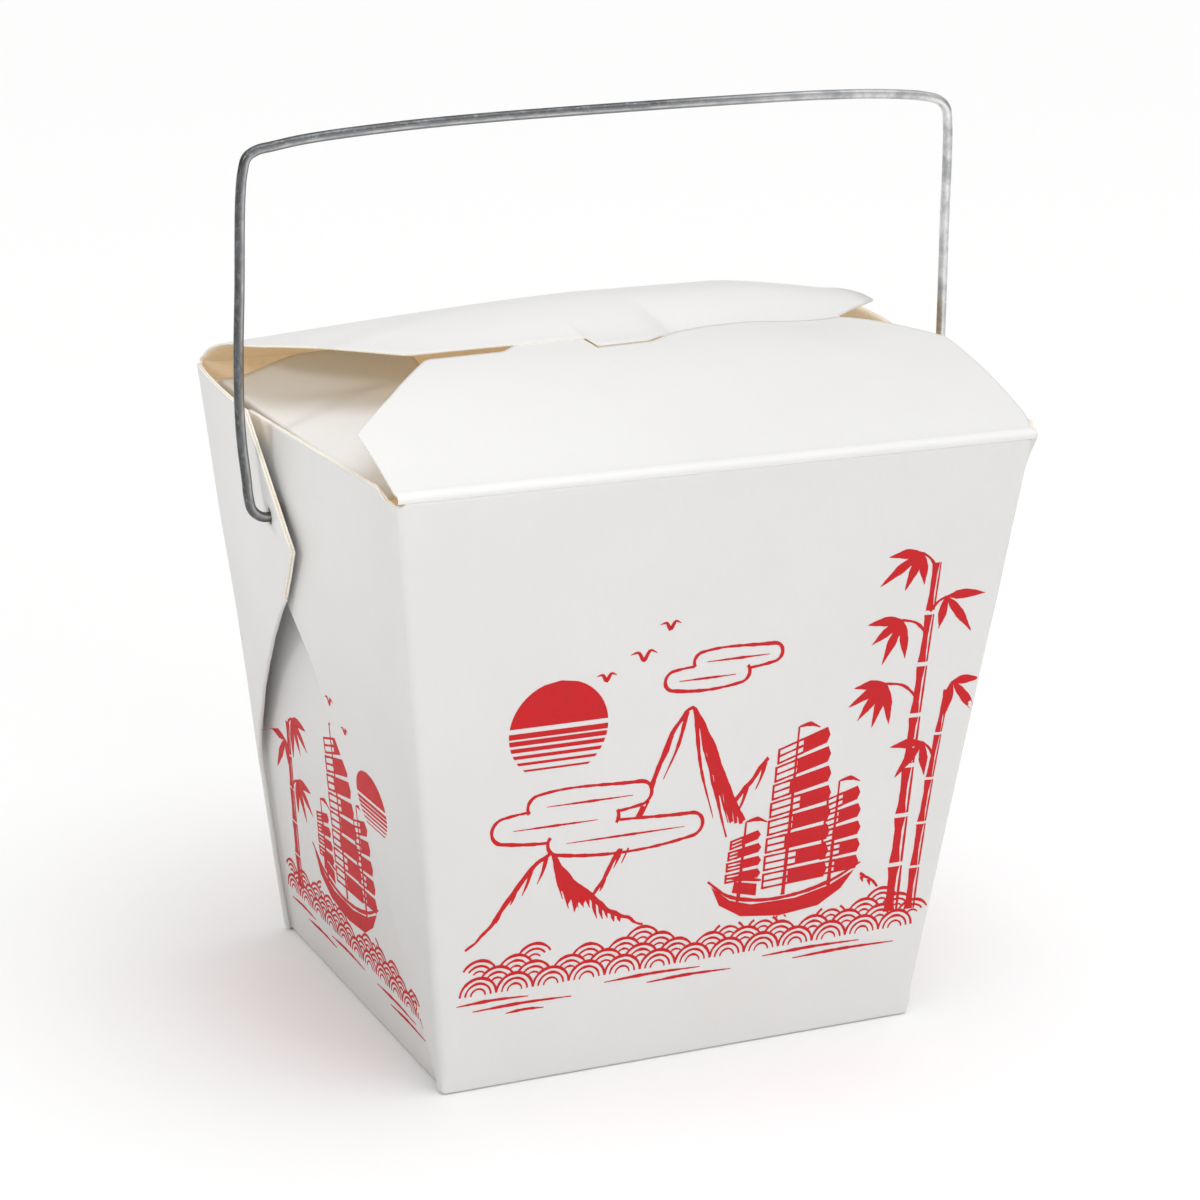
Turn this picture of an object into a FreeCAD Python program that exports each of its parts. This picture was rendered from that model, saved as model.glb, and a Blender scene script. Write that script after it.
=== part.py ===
import FreeCAD, Part
import Sketcher
import math
import os

# A one-quart folding food pail: one sheet of coated board and one wire bail.
# Frame: origin under the middle of the floor, X along the front wall, the front
# wall faces -Y, +Z is up. Every length is in millimetres, every angle in degrees.

doc = FreeCAD.newDocument("takeout_carton")
V = FreeCAD.Vector

sizes = doc.addObject("Spreadsheet::Sheet", "Sizes")
drivingSizes = {
    # the tray: floor and four tapered walls
    "boardThickness": 0.5,
    "baseWidth": 89.5,
    "baseDepth": 76.4,
    "topWidth": 115.4,
    "topDepth": 94.2,
    "wallHeight": 107.5,
    "endFoldDrop": 2.6,
    # the doubled corner webs, folded over the outside of the ends
    "webSink": 0.3,
    "frontWebFoot": 0.6,
    "backWebFoot": 34.0,
    "webBendHeight": 72.0,
    "webCornerNotch": 2.4,
    "webTipHeight": 88.5,
    "webTipPastMiddle": 9.0,
    "backWebRimShort": 5.0,
    "backWebRimRise": 1.2,
    "backWebFlare": 3.4,
    "backWebTipStand": 5.8,
    "backWebRimStand": 5.2,
    "frontWebRimPast": 10.0,
    "frontWebRimRise": 0.3,
    "frontWebFlare": 1.2,
    "frontWebTipStand": 2.0,
    "frontWebRimStand": 2.6,
    # the dust flaps, folded in from the ends
    "dustFlapLength": 30.0,
    "dustFlapTaper": 13.0,
    "dustFlapSlope": 6.0,
    "dustFlapInset": 4.0,
    # the two lid flaps and their lock
    "lidRise": 10.0,
    "lidLayerGap": 0.3,
    "backCrestRise": 11.9,
    "backCrestY": 20.5,
    "lidSideInset": 0.75,
    "lidShortSide": 18.0,
    "lidLongSide": 32.0,
    "frontCornerInset": 22.0,
    "frontFarCornerInset": 11.0,
    "frontLipY": 4.5,
    "frontHeelY": 3.0,
    "backCornerInset": 21.0,
    "backLipY": 2.0,
    "backHiddenLip": 7.0,
    "lockX": 13.0,
    "lockY": 0.8,
    "tongueStartX": 6.5,
    "tongueEndX": 3.7,
    "tongueLength": 4.2,
    "heelX": 16.5,
    "heelRun": 4.3,
    "seamGap": 0.35,
    "foldClearance": 0.06,
    # the wire bail
    "wireDiameter": 1.7,
    "holeClearance": 0.1,
    "pivotHeight": 92.5,
    "pivotForward": 1.2,
    "bailSpread": 5.2,
    "bailTop": 158.0,
    "bailCrown": 2.4,
    "bailCornerRadius": 4.0,
    "outerBendRadius": 3.4,
    "innerBendRadius": 2.4,
    "hookLength": 5.5,
    "hookStandoff": 0.6,
}
for row, (alias, number) in enumerate(drivingSizes.items(), start=1):
    sizes.set("A%d" % row, alias)
    sizes.set("B%d" % row, str(number))
    sizes.setAlias("B%d" % row, alias)
doc.recompute()


def value(formula):
    """The number that a formula over the sheet gives."""
    result = sizes.evalExpression(formula)
    return float(getattr(result, "Value", result))


# Formulas that more than one piece uses
board = "Sizes.boardThickness"
halfBaseX = "Sizes.baseWidth / 2"
halfBaseY = "Sizes.baseDepth / 2"
halfTopX = "Sizes.topWidth / 2"
halfTopY = "Sizes.topDepth / 2"
rimZ = "Sizes.wallHeight"
endFoldZ = "(Sizes.wallHeight - Sizes.endFoldDrop)"
foldY = "(Sizes.topDepth / 2 - Sizes.boardThickness / 2)"
lidHalfX = "(Sizes.topWidth / 2 - Sizes.lidSideInset)"
pivotY = "-Sizes.pivotForward"


def wedge(name, baseX, baseY, topX, topY, bottomZ, topZ):
    """A block that tapers evenly from its base rectangle to its top one."""
    block = doc.addObject("Part::Wedge", name)
    for axis, low, high in (("X", baseX, topX), ("Z", baseY, topY)):
        block.setExpression(axis + "min", "-(" + low + ")")
        block.setExpression(axis + "max", low)
        block.setExpression(axis + "2min", "-(" + high + ")")
        block.setExpression(axis + "2max", high)
    block.setExpression("Ymin", bottomZ)
    block.setExpression("Ymax", topZ)
    block.Placement = FreeCAD.Placement(V(0, 0, 0), FreeCAD.Rotation(V(1, 0, 0), 90))
    return block


def box(name, spans):
    """A block from three pairs of low and high formulas."""
    block = doc.addObject("Part::Box", name)
    for axis, side, (low, high) in zip("xyz", ("Length", "Width", "Height"), spans):
        block.setExpression("Placement.Base." + axis, low)
        block.setExpression(side, "(" + high + ") - (" + low + ")")
    return block


def cut(name, base, tool):
    result = doc.addObject("Part::Cut", name)
    result.Base = base
    result.Tool = tool
    return result


def common(name, first, second):
    result = doc.addObject("Part::MultiCommon", name)
    result.Shapes = [first, second]
    return result


def fuse(name, pieces):
    result = doc.addObject("Part::MultiFuse", name)
    result.Shapes = pieces
    return result


def axisRod(name, radius, length, heightZ, y="0"):
    """A round bar along X, centred on the middle of the pail."""
    rod = doc.addObject("Part::Cylinder", name)
    rod.Placement = FreeCAD.Placement(V(0, 0, 0), FreeCAD.Rotation(V(0, 1, 0), 90))
    rod.setExpression("Radius", radius)
    rod.setExpression("Height", length)
    rod.setExpression("Placement.Base.x", "-(" + length + ") / 2")
    rod.setExpression("Placement.Base.y", y)
    rod.setExpression("Placement.Base.z", heightZ)
    return rod


def outline(name, corners):
    """A closed sketch in the floor plane, each corner tied to the sheet."""
    sketch = doc.addObject("Sketcher::SketchObject", name)
    points = [V(value(x), value(y), 0) for x, y in corners]
    count = len(points)
    for index in range(count):
        sketch.addGeometry(Part.LineSegment(points[index], points[(index + 1) % count]))
    for index in range(count):
        following = (index + 1) % count
        sketch.addConstraint(Sketcher.Constraint("Coincident", index, 2, following, 1))
    for index, corner in enumerate(corners):
        for kind, formula in zip(("DistanceX", "DistanceY"), corner):
            rule = Sketcher.Constraint(kind, -1, 1, index, 1, value(formula))
            row = sketch.addConstraint(rule)
            label = "%s%d" % (kind, index)
            sketch.renameConstraint(row, label)
            sketch.setExpression("Constraints." + label, formula)
    return sketch


def prism(name, sketch, bottomZ, height):
    """A sketch raised straight up from one height."""
    solid = doc.addObject("Part::Extrusion", name)
    solid.Base = sketch
    solid.DirMode = "Normal"
    solid.Solid = True
    solid.setExpression("LengthFwd", height)
    solid.setExpression("Placement.Base.z", bottomZ)
    return solid


# The tray. Its inside is the outside moved in by one board, floor included.
def taperX(heightZ):
    return "(%s + (%s - %s) * (%s) / %s)" % (halfBaseX, halfTopX, halfBaseX, heightZ, rimZ)


def taperY(heightZ):
    return "(%s + (%s - %s) * (%s) / %s)" % (halfBaseY, halfTopY, halfBaseY, heightZ, rimZ)


outside = wedge("TrayOutside", halfBaseX, halfBaseY, halfTopX, halfTopY, "0", rimZ)
inside = wedge("TrayInside", taperX(board) + " - " + board, taperY(board) + " - " + board,
               halfTopX + " - " + board, halfTopY + " - " + board, board, rimZ)
tray = cut("Tray", outside, inside)

# The ends fold in a little below the rim, and the front wall stops under the lid's fold.
endGap = box("EndGap", (
    ("-" + halfTopX + " - 1", halfTopX + " + 1"),
    ("-(" + taperY(endFoldZ) + " - " + board + ")", taperY(endFoldZ) + " - " + board),
    (endFoldZ, rimZ + " + 1")))
foldGap = box("FoldGap", (
    ("-" + halfTopX + " - 1", halfTopX + " + 1"),
    ("-" + halfTopY + " - 1", "-" + halfTopY + " + " + board + " * 1.5"),
    (rimZ + " - " + board + " / 2 - Sizes.foldClearance", rimZ + " + 1")))
walls = cut("Walls", cut("TrayLowEnds", tray, endGap), foldGap)


# The corner webs. Each is the board doubled on a diagonal fold that runs from its foot on
# the corner edge to a tip past the middle of the end. The back ones leave the edge higher up.
def webSolid(end, side, foot, rimY, rimRise, flare, tipStand, rimStand):
    """end is -1 for the left and side is -1 for the front. rimY is where the rim stops,
    counted from the middle of the end towards the web's own corner. The flare is folded
    flat by flat, two triangles to a step up the fold."""
    sink = value("Sizes.webSink")
    bend = value("Sizes.webBendHeight")
    tipZ = value("Sizes.webTipHeight")
    tipY = -value("Sizes.webTipPastMiddle")
    rim = value(rimZ)

    def spot(y, z, stand):
        return V(end * (value(taperX(str(z))) + stand - sink), side * y, z)

    def corner(z):
        return spot(value(taperY(str(z))), z, 0)

    footY = value(taperY(str(foot)))
    footFold = spot(footY - 0.6, foot, 0)
    middleFold = spot((footY + tipY) / 2, (foot + tipZ) / 2, flare)
    tip = spot(tipY, tipZ, tipStand)
    steps = 5
    foldLine = Part.Arc(footFold, middleFold, tip).toShape().discretize(steps + 1)
    foldLine.append(spot(rimY, rim + rimRise, rimStand))
    cornerLine = [corner(foot + (bend - foot) * step / steps) for step in range(steps + 1)]
    cornerLine.append(corner(rim))
    outward = V(end * value(board + " * 2"), 0, 0)
    flats = []
    for step in range(steps + 1):
        low, high = cornerLine[step], cornerLine[step + 1]
        lowFold, highFold = foldLine[step], foldLine[step + 1]
        for corners in ((low, lowFold, highFold), (low, highFold, high)):
            edge = Part.makePolygon(list(corners) + [corners[0]])
            flats.append(Part.Face(edge).extrude(outward))
    return flats[0].multiFuse(flats[1:]).removeSplitter()


def web(name, end, side, *rules):
    piece = doc.addObject("Part::Feature", name)
    piece.Shape = webSolid(end, side, *[value(rule) for rule in rules])
    piece.Placement = FreeCAD.Placement()
    return piece


def notch(name, end, side):
    """The relief where a web's top edge leaves the corner fold."""
    low = (halfTopX + " - Sizes.webSink", halfTopY + " - Sizes.webCornerNotch")
    high = (halfTopX + " + 3", halfTopY + " + 3")
    spans = []
    for sign, near, far in ((end, low[0], high[0]), (side, low[1], high[1])):
        spans.append((near, far) if sign > 0 else ("-(" + far + ")", "-(" + near + ")"))
    spans.append((rimZ + " - Sizes.webCornerNotch", rimZ + " + 5"))
    return box(name, spans)


# The dust flaps, folded in from the end folds and rising a little to the middle
def dustFlap(name, end):
    reach = "(Sizes.dustFlapLength)"
    root = "(" + taperY(endFoldZ) + " - Sizes.dustFlapInset)"
    tip = "(" + root + " - Sizes.dustFlapTaper)"
    sketch = outline(name + "Outline", (
        ("0", "-" + root),
        (reach, "-" + tip),
        (reach, tip),
        ("0", root)))
    flap = prism(name, sketch, "0", board)
    slope = value("Sizes.dustFlapSlope")
    turn = FreeCAD.Rotation(V(0, 1, 0), -slope)
    if end > 0:
        turn = FreeCAD.Rotation(V(0, 0, 1), 180).multiply(turn)
    lift = value(endFoldZ + " - " + board)
    flap.setExpression("Placement.Base.z", None)
    flap.Placement = FreeCAD.Placement(V(end * value(taperX(endFoldZ)), 0, lift), turn)
    return flap


# The front flap is bent to one low arch over the whole depth.
archRadius = "((" + foldY + "^2 + Sizes.lidRise^2) / (2 * Sizes.lidRise))"
archCentre = rimZ + " + Sizes.lidRise - " + archRadius
frontArch = cut("FrontArch",
                axisRod("FrontArchTop", archRadius + " + " + board + " / 2",
                        "Sizes.topWidth", archCentre),
                axisRod("FrontArchUnder", archRadius + " - " + board + " / 2",
                        "Sizes.topWidth", archCentre))
tongueY = "Sizes.tongueLength"
frontOutline = outline("FrontLidOutline", (
    ("-" + lidHalfX, "-" + foldY),
    (lidHalfX, "-" + foldY),
    (lidHalfX, "-" + foldY + " + Sizes.lidLongSide"),
    (lidHalfX + " - Sizes.frontFarCornerInset", "Sizes.frontLipY"),
    ("Sizes.lockX + 7", "Sizes.frontHeelY"),
    ("Sizes.lockX + Sizes.seamGap", "Sizes.lockY"),
    ("Sizes.tongueStartX + Sizes.seamGap", "-" + tongueY + " + 0.8 - Sizes.seamGap"),
    ("-Sizes.tongueEndX - Sizes.seamGap", "-" + tongueY + " - Sizes.seamGap"),
    ("-Sizes.tongueEndX - Sizes.seamGap", "Sizes.backLipY - Sizes.seamGap"),
    ("-Sizes.heelX", "Sizes.backLipY - Sizes.seamGap"),
    ("-Sizes.heelX - Sizes.heelRun", "-(Sizes.backLipY + Sizes.seamGap)"),
    ("-" + lidHalfX + " + Sizes.frontCornerInset", "-(Sizes.backLipY + Sizes.seamGap) - 0.8"),
    ("-" + lidHalfX, "-" + foldY + " + Sizes.lidShortSide")))
frontPlate = common("FrontLidPlate", frontArch,
                    prism("FrontLidPrism", frontOutline, rimZ + " - 5", "Sizes.lidRise + 10"))
foldBead = axisRod("FrontLidFold", board + " / 2", lidHalfX + " * 2", rimZ, "-" + foldY)
frontLid = fuse("FrontLid", [frontPlate, foldBead])

backOutline = outline("BackLidOutline", (
    (lidHalfX, foldY + " + " + board + " / 2"),
    ("-" + lidHalfX, foldY + " + " + board + " / 2"),
    ("-" + lidHalfX, foldY + " - Sizes.lidLongSide + 5"),
    ("-" + lidHalfX + " + Sizes.backCornerInset", "Sizes.backLipY"),
    ("-Sizes.tongueEndX", "Sizes.backLipY"),
    ("-Sizes.tongueEndX", "-" + tongueY),
    ("Sizes.tongueStartX", "-" + tongueY + " + 0.8"),
    ("Sizes.lockX", "Sizes.lockY"),
    ("Sizes.lockX + 0.5", "-Sizes.backHiddenLip"),
    (lidHalfX + " - Sizes.backCornerInset", "-Sizes.backHiddenLip"),
    (lidHalfX, foldY + " - Sizes.lidLongSide + 2")))


# The back flap climbs over a higher crest, then lies level, a layer under the front one.
def backArchSolid():
    fold = V(0, value(foldY), value(rimZ))
    crest = V(0, value("Sizes.backCrestY"), value(rimZ + " + Sizes.backCrestRise"))
    meetY = value("Sizes.frontLipY")
    drop = value("Sizes.lidRise") * (meetY / value(foldY)) ** 2
    levelZ = value(rimZ + " + Sizes.lidRise - Sizes.lidLayerGap - " + board) - drop
    sweep = Part.Arc(fold, crest, V(0, meetY, levelZ)).toShape().Curve
    middle = sweep.Center
    lipY = -value("Sizes.backHiddenLip") - 1

    def face(offset):
        """The points of one face of the board: fold, top of the arc, foot of it, lip."""
        radius = sweep.Radius + offset
        level = levelZ + offset
        footY = middle.y - math.sqrt(radius ** 2 - (level - middle.z) ** 2)
        start = middle + (fold - middle).normalize() * radius
        return start, middle + V(0, 0, radius), V(0, footY, level), V(0, lipY, level)

    outer = face(value(board) / 2)
    inner = face(-value(board) / 2)
    edges = [Part.Arc(*outer[:3]).toShape(), Part.makeLine(outer[2], outer[3]),
             Part.makeLine(outer[3], inner[3]), Part.makeLine(inner[3], inner[2]),
             Part.Arc(*inner[2::-1]).toShape(), Part.makeLine(inner[0], outer[0])]
    strip = Part.Face(Part.Wire(edges)).extrude(V(value("Sizes.topWidth"), 0, 0))
    strip.translate(V(-value(halfTopX), 0, 0))
    return strip


backArch = doc.addObject("Part::Feature", "BackArch")
backArch.Shape = backArchSolid()
backPlate = common("BackLidPlate", backArch,
                   prism("BackLidPrism", backOutline, rimZ + " - 5", "Sizes.lidRise + 10"))
backBead = axisRod("BackLidFold", board + " / 2", lidHalfX + " * 2", rimZ, foldY)

# One folded sheet
folded = [walls, backPlate, backBead]
for end, endName in ((-1, "Left"), (1, "Right")):
    folded.append(web("FrontWeb" + endName, end, -1, "Sizes.frontWebFoot",
                      "-Sizes.frontWebRimPast", "Sizes.frontWebRimRise",
                      "Sizes.frontWebFlare", "Sizes.frontWebTipStand",
                      "Sizes.frontWebRimStand"))
    folded.append(web("BackWeb" + endName, end, 1, "Sizes.backWebFoot",
                      "Sizes.backWebRimShort", "Sizes.backWebRimRise",
                      "Sizes.backWebFlare", "Sizes.backWebTipStand",
                      "Sizes.backWebRimStand"))
    folded.append(dustFlap("DustFlap" + endName, end))
sheet = fuse("FoldedSheet", folded)
notches = fuse("Notches", [notch("NotchLeftFront", -1, -1), notch("NotchLeftBack", -1, 1),
                           notch("NotchRightFront", 1, -1), notch("NotchRightBack", 1, 1)])
pivotHole = axisRod("PivotHole", "Sizes.wireDiameter / 2 + Sizes.holeClearance",
                    "Sizes.topWidth + 30", "Sizes.pivotHeight", pivotY)
body = cut("Carton", cut("NotchedSheet", sheet, notches), pivotHole)


# The bail: one wire, drawn from the hook inside one end to the middle of the top bar,
# then mirrored. The runs and the bends between them are tangent all the way.
def bailPath():
    pivotZ = value("Sizes.pivotHeight")
    innerBend = value("Sizes.innerBendRadius")
    outerBend = value("Sizes.outerBendRadius")
    cornerBend = value("Sizes.bailCornerRadius")
    legX = value(taperX("Sizes.pivotHeight") + " + Sizes.backWebRimStand + Sizes.bailSpread")
    insideX = value(taperX("Sizes.pivotHeight")) - value(board) - value("Sizes.hookStandoff")
    crown = value("Sizes.bailCrown")
    barRadius = (legX ** 2 + crown ** 2) / (2 * crown)
    barCentreZ = value("Sizes.bailTop") - barRadius
    bendX = legX - cornerBend
    bendZ = barCentreZ + math.sqrt((barRadius - cornerBend) ** 2 - bendX ** 2)
    lean = math.atan2(bendX, bendZ - barCentreZ)
    quarter = math.pi / 2

    def bend(centreX, centreZ, radius, start, finish):
        angles = (start, (start + finish) / 2, finish)
        return [V(centreX + radius * math.cos(a), 0, centreZ + radius * math.sin(a))
                for a in angles]

    inner = bend(insideX, pivotZ + innerBend, innerBend, 2 * quarter, 3 * quarter)
    outer = bend(legX - outerBend, pivotZ + outerBend, outerBend, -quarter, 0)
    top = bend(bendX, bendZ, cornerBend, 0, quarter - lean)
    bar = bend(0, barCentreZ, barRadius, quarter - lean, quarter)
    hookTip = inner[0] + V(0, 0, value("Sizes.hookLength"))
    edges = [Part.makeLine(hookTip, inner[0]), Part.Arc(*inner).toShape(),
             Part.makeLine(inner[2], outer[0]), Part.Arc(*outer).toShape(),
             Part.makeLine(outer[2], top[0]), Part.Arc(*top).toShape(),
             Part.Arc(*bar).toShape()]
    return Part.Wire(edges), hookTip


def halfBail():
    path, hookTip = bailPath()
    circle = Part.makeCircle(value("Sizes.wireDiameter") / 2, hookTip, V(0, 0, 1))
    return path.makePipeShell([Part.Wire([circle])], True, False)


rightHalf = doc.addObject("Part::Feature", "RightHalfBail")
rightHalf.Shape = halfBail()
rightHalf.Placement = FreeCAD.Placement(V(0, value(pivotY), 0), FreeCAD.Rotation())
leftHalf = doc.addObject("Part::Mirroring", "LeftHalfBail")
leftHalf.Source = rightHalf
leftHalf.Normal = V(1, 0, 0)
bail = fuse("Bail", [rightHalf, leftHalf])

subParts = {"carton_body": body, "front_lid_flap": frontLid, "wire_handle": bail}
for label, piece in subParts.items():
    piece.Label = label
doc.recompute()

for thing in doc.Objects:
    if "Invalid" in thing.State or "Error" in thing.State:
        raise RuntimeError(thing.Label + " did not build: " + str(thing.State))
for label, piece in subParts.items():
    if piece.Shape.isNull() or not piece.Shape.isValid():
        raise RuntimeError(label + " has no valid shape")
    if len(piece.Shape.Solids) != 1:
        raise RuntimeError(label + " has %d solids" % len(piece.Shape.Solids))

os.makedirs("parts", exist_ok=True)
for label, piece in subParts.items():
    piece.Shape.exportStep("parts/" + label + ".step")
    bounds = piece.Shape.BoundBox
    print("%s: %.0f mm3, x %.1f to %.1f, y %.1f to %.1f, z %.1f to %.1f" % (
        label, piece.Shape.Volume, bounds.XMin, bounds.XMax,
        bounds.YMin, bounds.YMax, bounds.ZMin, bounds.ZMax))
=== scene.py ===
import math

import bmesh
import bpy
import numpy as np
from mathutils import Matrix, Vector
from mathutils.bvhtree import BVHTree
from mathutils.geometry import tessellate_polygon


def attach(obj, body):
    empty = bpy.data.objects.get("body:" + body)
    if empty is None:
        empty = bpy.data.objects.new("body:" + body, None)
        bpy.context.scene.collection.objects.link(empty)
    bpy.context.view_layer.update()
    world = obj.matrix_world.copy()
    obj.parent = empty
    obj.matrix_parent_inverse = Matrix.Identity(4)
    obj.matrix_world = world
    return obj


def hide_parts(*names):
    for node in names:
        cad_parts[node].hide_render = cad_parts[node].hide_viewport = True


# A folded food pail of coated board with a wire bail.
# Lengths in the tables are millimetres; makeMesh turns them into metres.

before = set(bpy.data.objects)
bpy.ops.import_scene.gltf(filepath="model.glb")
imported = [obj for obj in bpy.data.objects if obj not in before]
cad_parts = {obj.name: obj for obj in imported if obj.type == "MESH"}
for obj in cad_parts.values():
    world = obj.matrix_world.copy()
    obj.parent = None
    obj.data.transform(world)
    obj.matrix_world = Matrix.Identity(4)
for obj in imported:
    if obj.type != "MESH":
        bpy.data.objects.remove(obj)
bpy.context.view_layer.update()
print("frame loaded:", sorted(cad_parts))

# the pail's own sizes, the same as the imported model's
pail = {
    "halfBaseX": 44.75, "halfBaseY": 38.2,
    "halfTopX": 57.7, "halfTopY": 47.1,
    "wallHeight": 107.5,
    "endHeight": 104.9,
    "board": 0.38,
    "cornerRadius": 1.5,
    "bottomRadius": 0.7,
    "wallTop": 107.03,       # the front wall ends here and leaves the lid's fold room to turn
    "backWallTop": 107.2,
    "endInset": 2.0,         # the ends stop this far inside the corners
    "pressTop": 96.0,        # they are pressed in below this height
    "wallBow": 0.45,         # front and back walls belly out this much
    "endBow": 0.7,           # the ends are pressed in
    "columnsX": 61, "columnsY": 49,
}


def halfX(z):
    return pail["halfBaseX"] + (pail["halfTopX"] - pail["halfBaseX"]) * z / pail["wallHeight"]


def halfY(z):
    return pail["halfBaseY"] + (pail["halfTopY"] - pail["halfBaseY"]) * z / pail["wallHeight"]


# a smooth curve through a few values: cubic pieces, each end slope the chord of its neighbours
def smoothCurve(at, knots, values):
    knots, values = np.asarray(knots, float), np.asarray(values, float)
    slope = np.gradient(values, knots)
    at = np.clip(at, knots[0], knots[-1])
    piece = np.clip(np.searchsorted(knots, at) - 1, 0, len(knots) - 2)
    width = knots[piece + 1] - knots[piece]
    t = (at - knots[piece]) / width
    return ((2 * t**3 - 3 * t**2 + 1) * values[piece] + (t**3 - 2 * t**2 + t) * width * slope[piece]
            + (3 * t**2 - 2 * t**3) * values[piece + 1] + (t**3 - t**2) * width * slope[piece + 1])


def smoothStep(low, high, at):
    t = np.clip((at - low) / (high - low), 0, 1)
    return t * t * (3 - 2 * t)


# quads over a grid of points, rows upward and columns to the right as seen from outside
def gridPatch(points, keep=None):
    rows, columns = points.shape[:2]
    number = np.arange(rows * columns).reshape(rows, columns)
    quads = np.stack([number[:-1, :-1], number[:-1, 1:], number[1:, 1:], number[1:, :-1]], -1)
    if keep is not None:
        quads = quads[keep]
    return points.reshape(-1, 3), quads.reshape(-1, 4)


def linked(name, data):
    piece = bpy.data.objects.new(name, data)
    bpy.context.scene.collection.objects.link(piece)
    return piece


# patches that share edge points become one mesh; doubles are merged
def makeMesh(name, patches, merge=0.004):
    points, faces, start = [], [], 0
    for patchPoints, patchFaces in patches:
        points.append(patchPoints)
        faces.append(patchFaces + start)
        start += len(patchPoints)
    points = np.concatenate(points) * 0.001
    faces = np.concatenate(faces)
    mesh = bpy.data.meshes.new(name)
    mesh.from_pydata(points.tolist(), [], faces.tolist())
    work = bmesh.new()
    work.from_mesh(mesh)
    bmesh.ops.remove_doubles(work, verts=work.verts, dist=merge * 0.001)
    loose = [v for v in work.verts if not v.link_faces]
    bmesh.ops.delete(work, geom=loose, context="VERTS")
    work.to_mesh(mesh)
    work.free()
    mesh.polygons.foreach_set("use_smooth", np.ones(len(mesh.polygons), bool))
    mesh.validate()
    mesh.update()
    return linked(name, mesh)


# the board grows inwards; its inside and its cut edges take the next two materials
def boardThickness(piece, share=None):
    for material in boardFaces:
        piece.data.materials.append(material)
    solid = piece.modifiers.new("board", "SOLIDIFY")
    solid.thickness = pail["board"] * 0.001
    solid.offset = -1
    solid.use_even_offset = False
    solid.use_quality_normals = True
    solid.material_offset = 1
    solid.material_offset_rim = 2
    if share is not None:
        group = piece.vertex_groups.new(name="thickness")
        for vertex in piece.data.vertices:
            group.add([vertex.index], float(share(vertex.co)), "REPLACE")
        solid.vertex_group = "thickness"


# a socket that can be used in sums: every operator adds its Math node
class Value:
    def __init__(self, tree, socket):
        self.tree, self.socket = tree, socket

    def math(self, operation, *items):
        node = self.tree.nodes.new("ShaderNodeMath")
        node.operation = operation
        for slot, item in enumerate(items):
            if isinstance(item, Value):
                self.tree.links.new(item.socket, node.inputs[slot])
            else:
                node.inputs[slot].default_value = float(item)
        return Value(self.tree, node.outputs[0])

    def __add__(self, other): return self.math("ADD", self, other)
    def __mul__(self, other): return self.math("MULTIPLY", self, other)
    __radd__, __rmul__ = __add__, __mul__
    def __sub__(self, other): return self.math("SUBTRACT", self, other)
    def __rsub__(self, other): return self.math("SUBTRACT", other, self)
    def __pow__(self, other): return self.math("POWER", self, other)
    def __rpow__(self, other): return self.math("POWER", other, self)
    def greater(self, other): return self.math("MAXIMUM", self, other)


# one material under construction: node() makes any node from its type, settings and inputs
class Shader:
    def __init__(self, name):
        self.material = bpy.data.materials.new(name)
        self.material.use_nodes = True
        self.tree = self.material.node_tree
        self.tree.nodes.clear()
        self.surface = self.tree.nodes.new("ShaderNodeBsdfPrincipled")
        output = self.tree.nodes.new("ShaderNodeOutputMaterial")
        self.tree.links.new(self.surface.outputs[0], output.inputs[0])

    def node(self, kind, settings=None, out=0, **inputs):
        node = self.tree.nodes.new("ShaderNode" + kind)
        for key, setting in (settings or {}).items():
            if key == "stops":
                while len(node.color_ramp.elements) < len(setting):
                    node.color_ramp.elements.new(0.5)
                for stop, (place, colour) in zip(node.color_ramp.elements, setting):
                    stop.position = place
                    stop.color = colour
            else:
                setattr(node, key, setting)
        for key, item in inputs.items():
            slot = node.inputs[int(key[1:])] if key[1:].isdigit() else node.inputs[key.replace("_", " ")]
            self.put(slot, item)
        return Value(self.tree, node.outputs[out])

    def put(self, slot, item):
        if isinstance(item, Value):
            self.tree.links.new(item.socket, slot)
        else:
            slot.default_value = item

    def objectPoint(self):
        return self.node("TexCoord", out=3)

    def noise(self, point, scale, detail, roughness):
        return self.node("TexNoise", Vector=point, Scale=scale, Detail=detail, Roughness=roughness)

    def stretched(self, point, scale):
        return self.node("Mapping", Vector=point, Scale=scale)

    def ramp(self, factor, stops):
        return self.node("ValToRGB", {"stops": [(place, grey(level)) for place, level in stops]}, i0=factor)

    def mix(self, factor, first, second):
        return self.node("Mix", {"data_type": "RGBA"}, out=2, i0=factor, i6=first, i7=second)

    # another colour comes in where the factor climbs from low to high
    def blend(self, factor, low, high, most, first, second):
        return self.mix(self.ramp(factor, [(low, 0.0), (high, most)]), first, second)

    def bump(self, height, strength, distance, under=None):
        inputs = {"Height": height, "Strength": strength, "Distance": distance}
        if under is not None:
            inputs["Normal"] = under
        return self.node("Bump", **inputs)

    def set(self, **inputs):
        for key, item in inputs.items():
            self.put(self.surface.inputs[key.replace("_", " ")], item)


def grey(level):
    return (level, level, level, 1.0)


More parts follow.
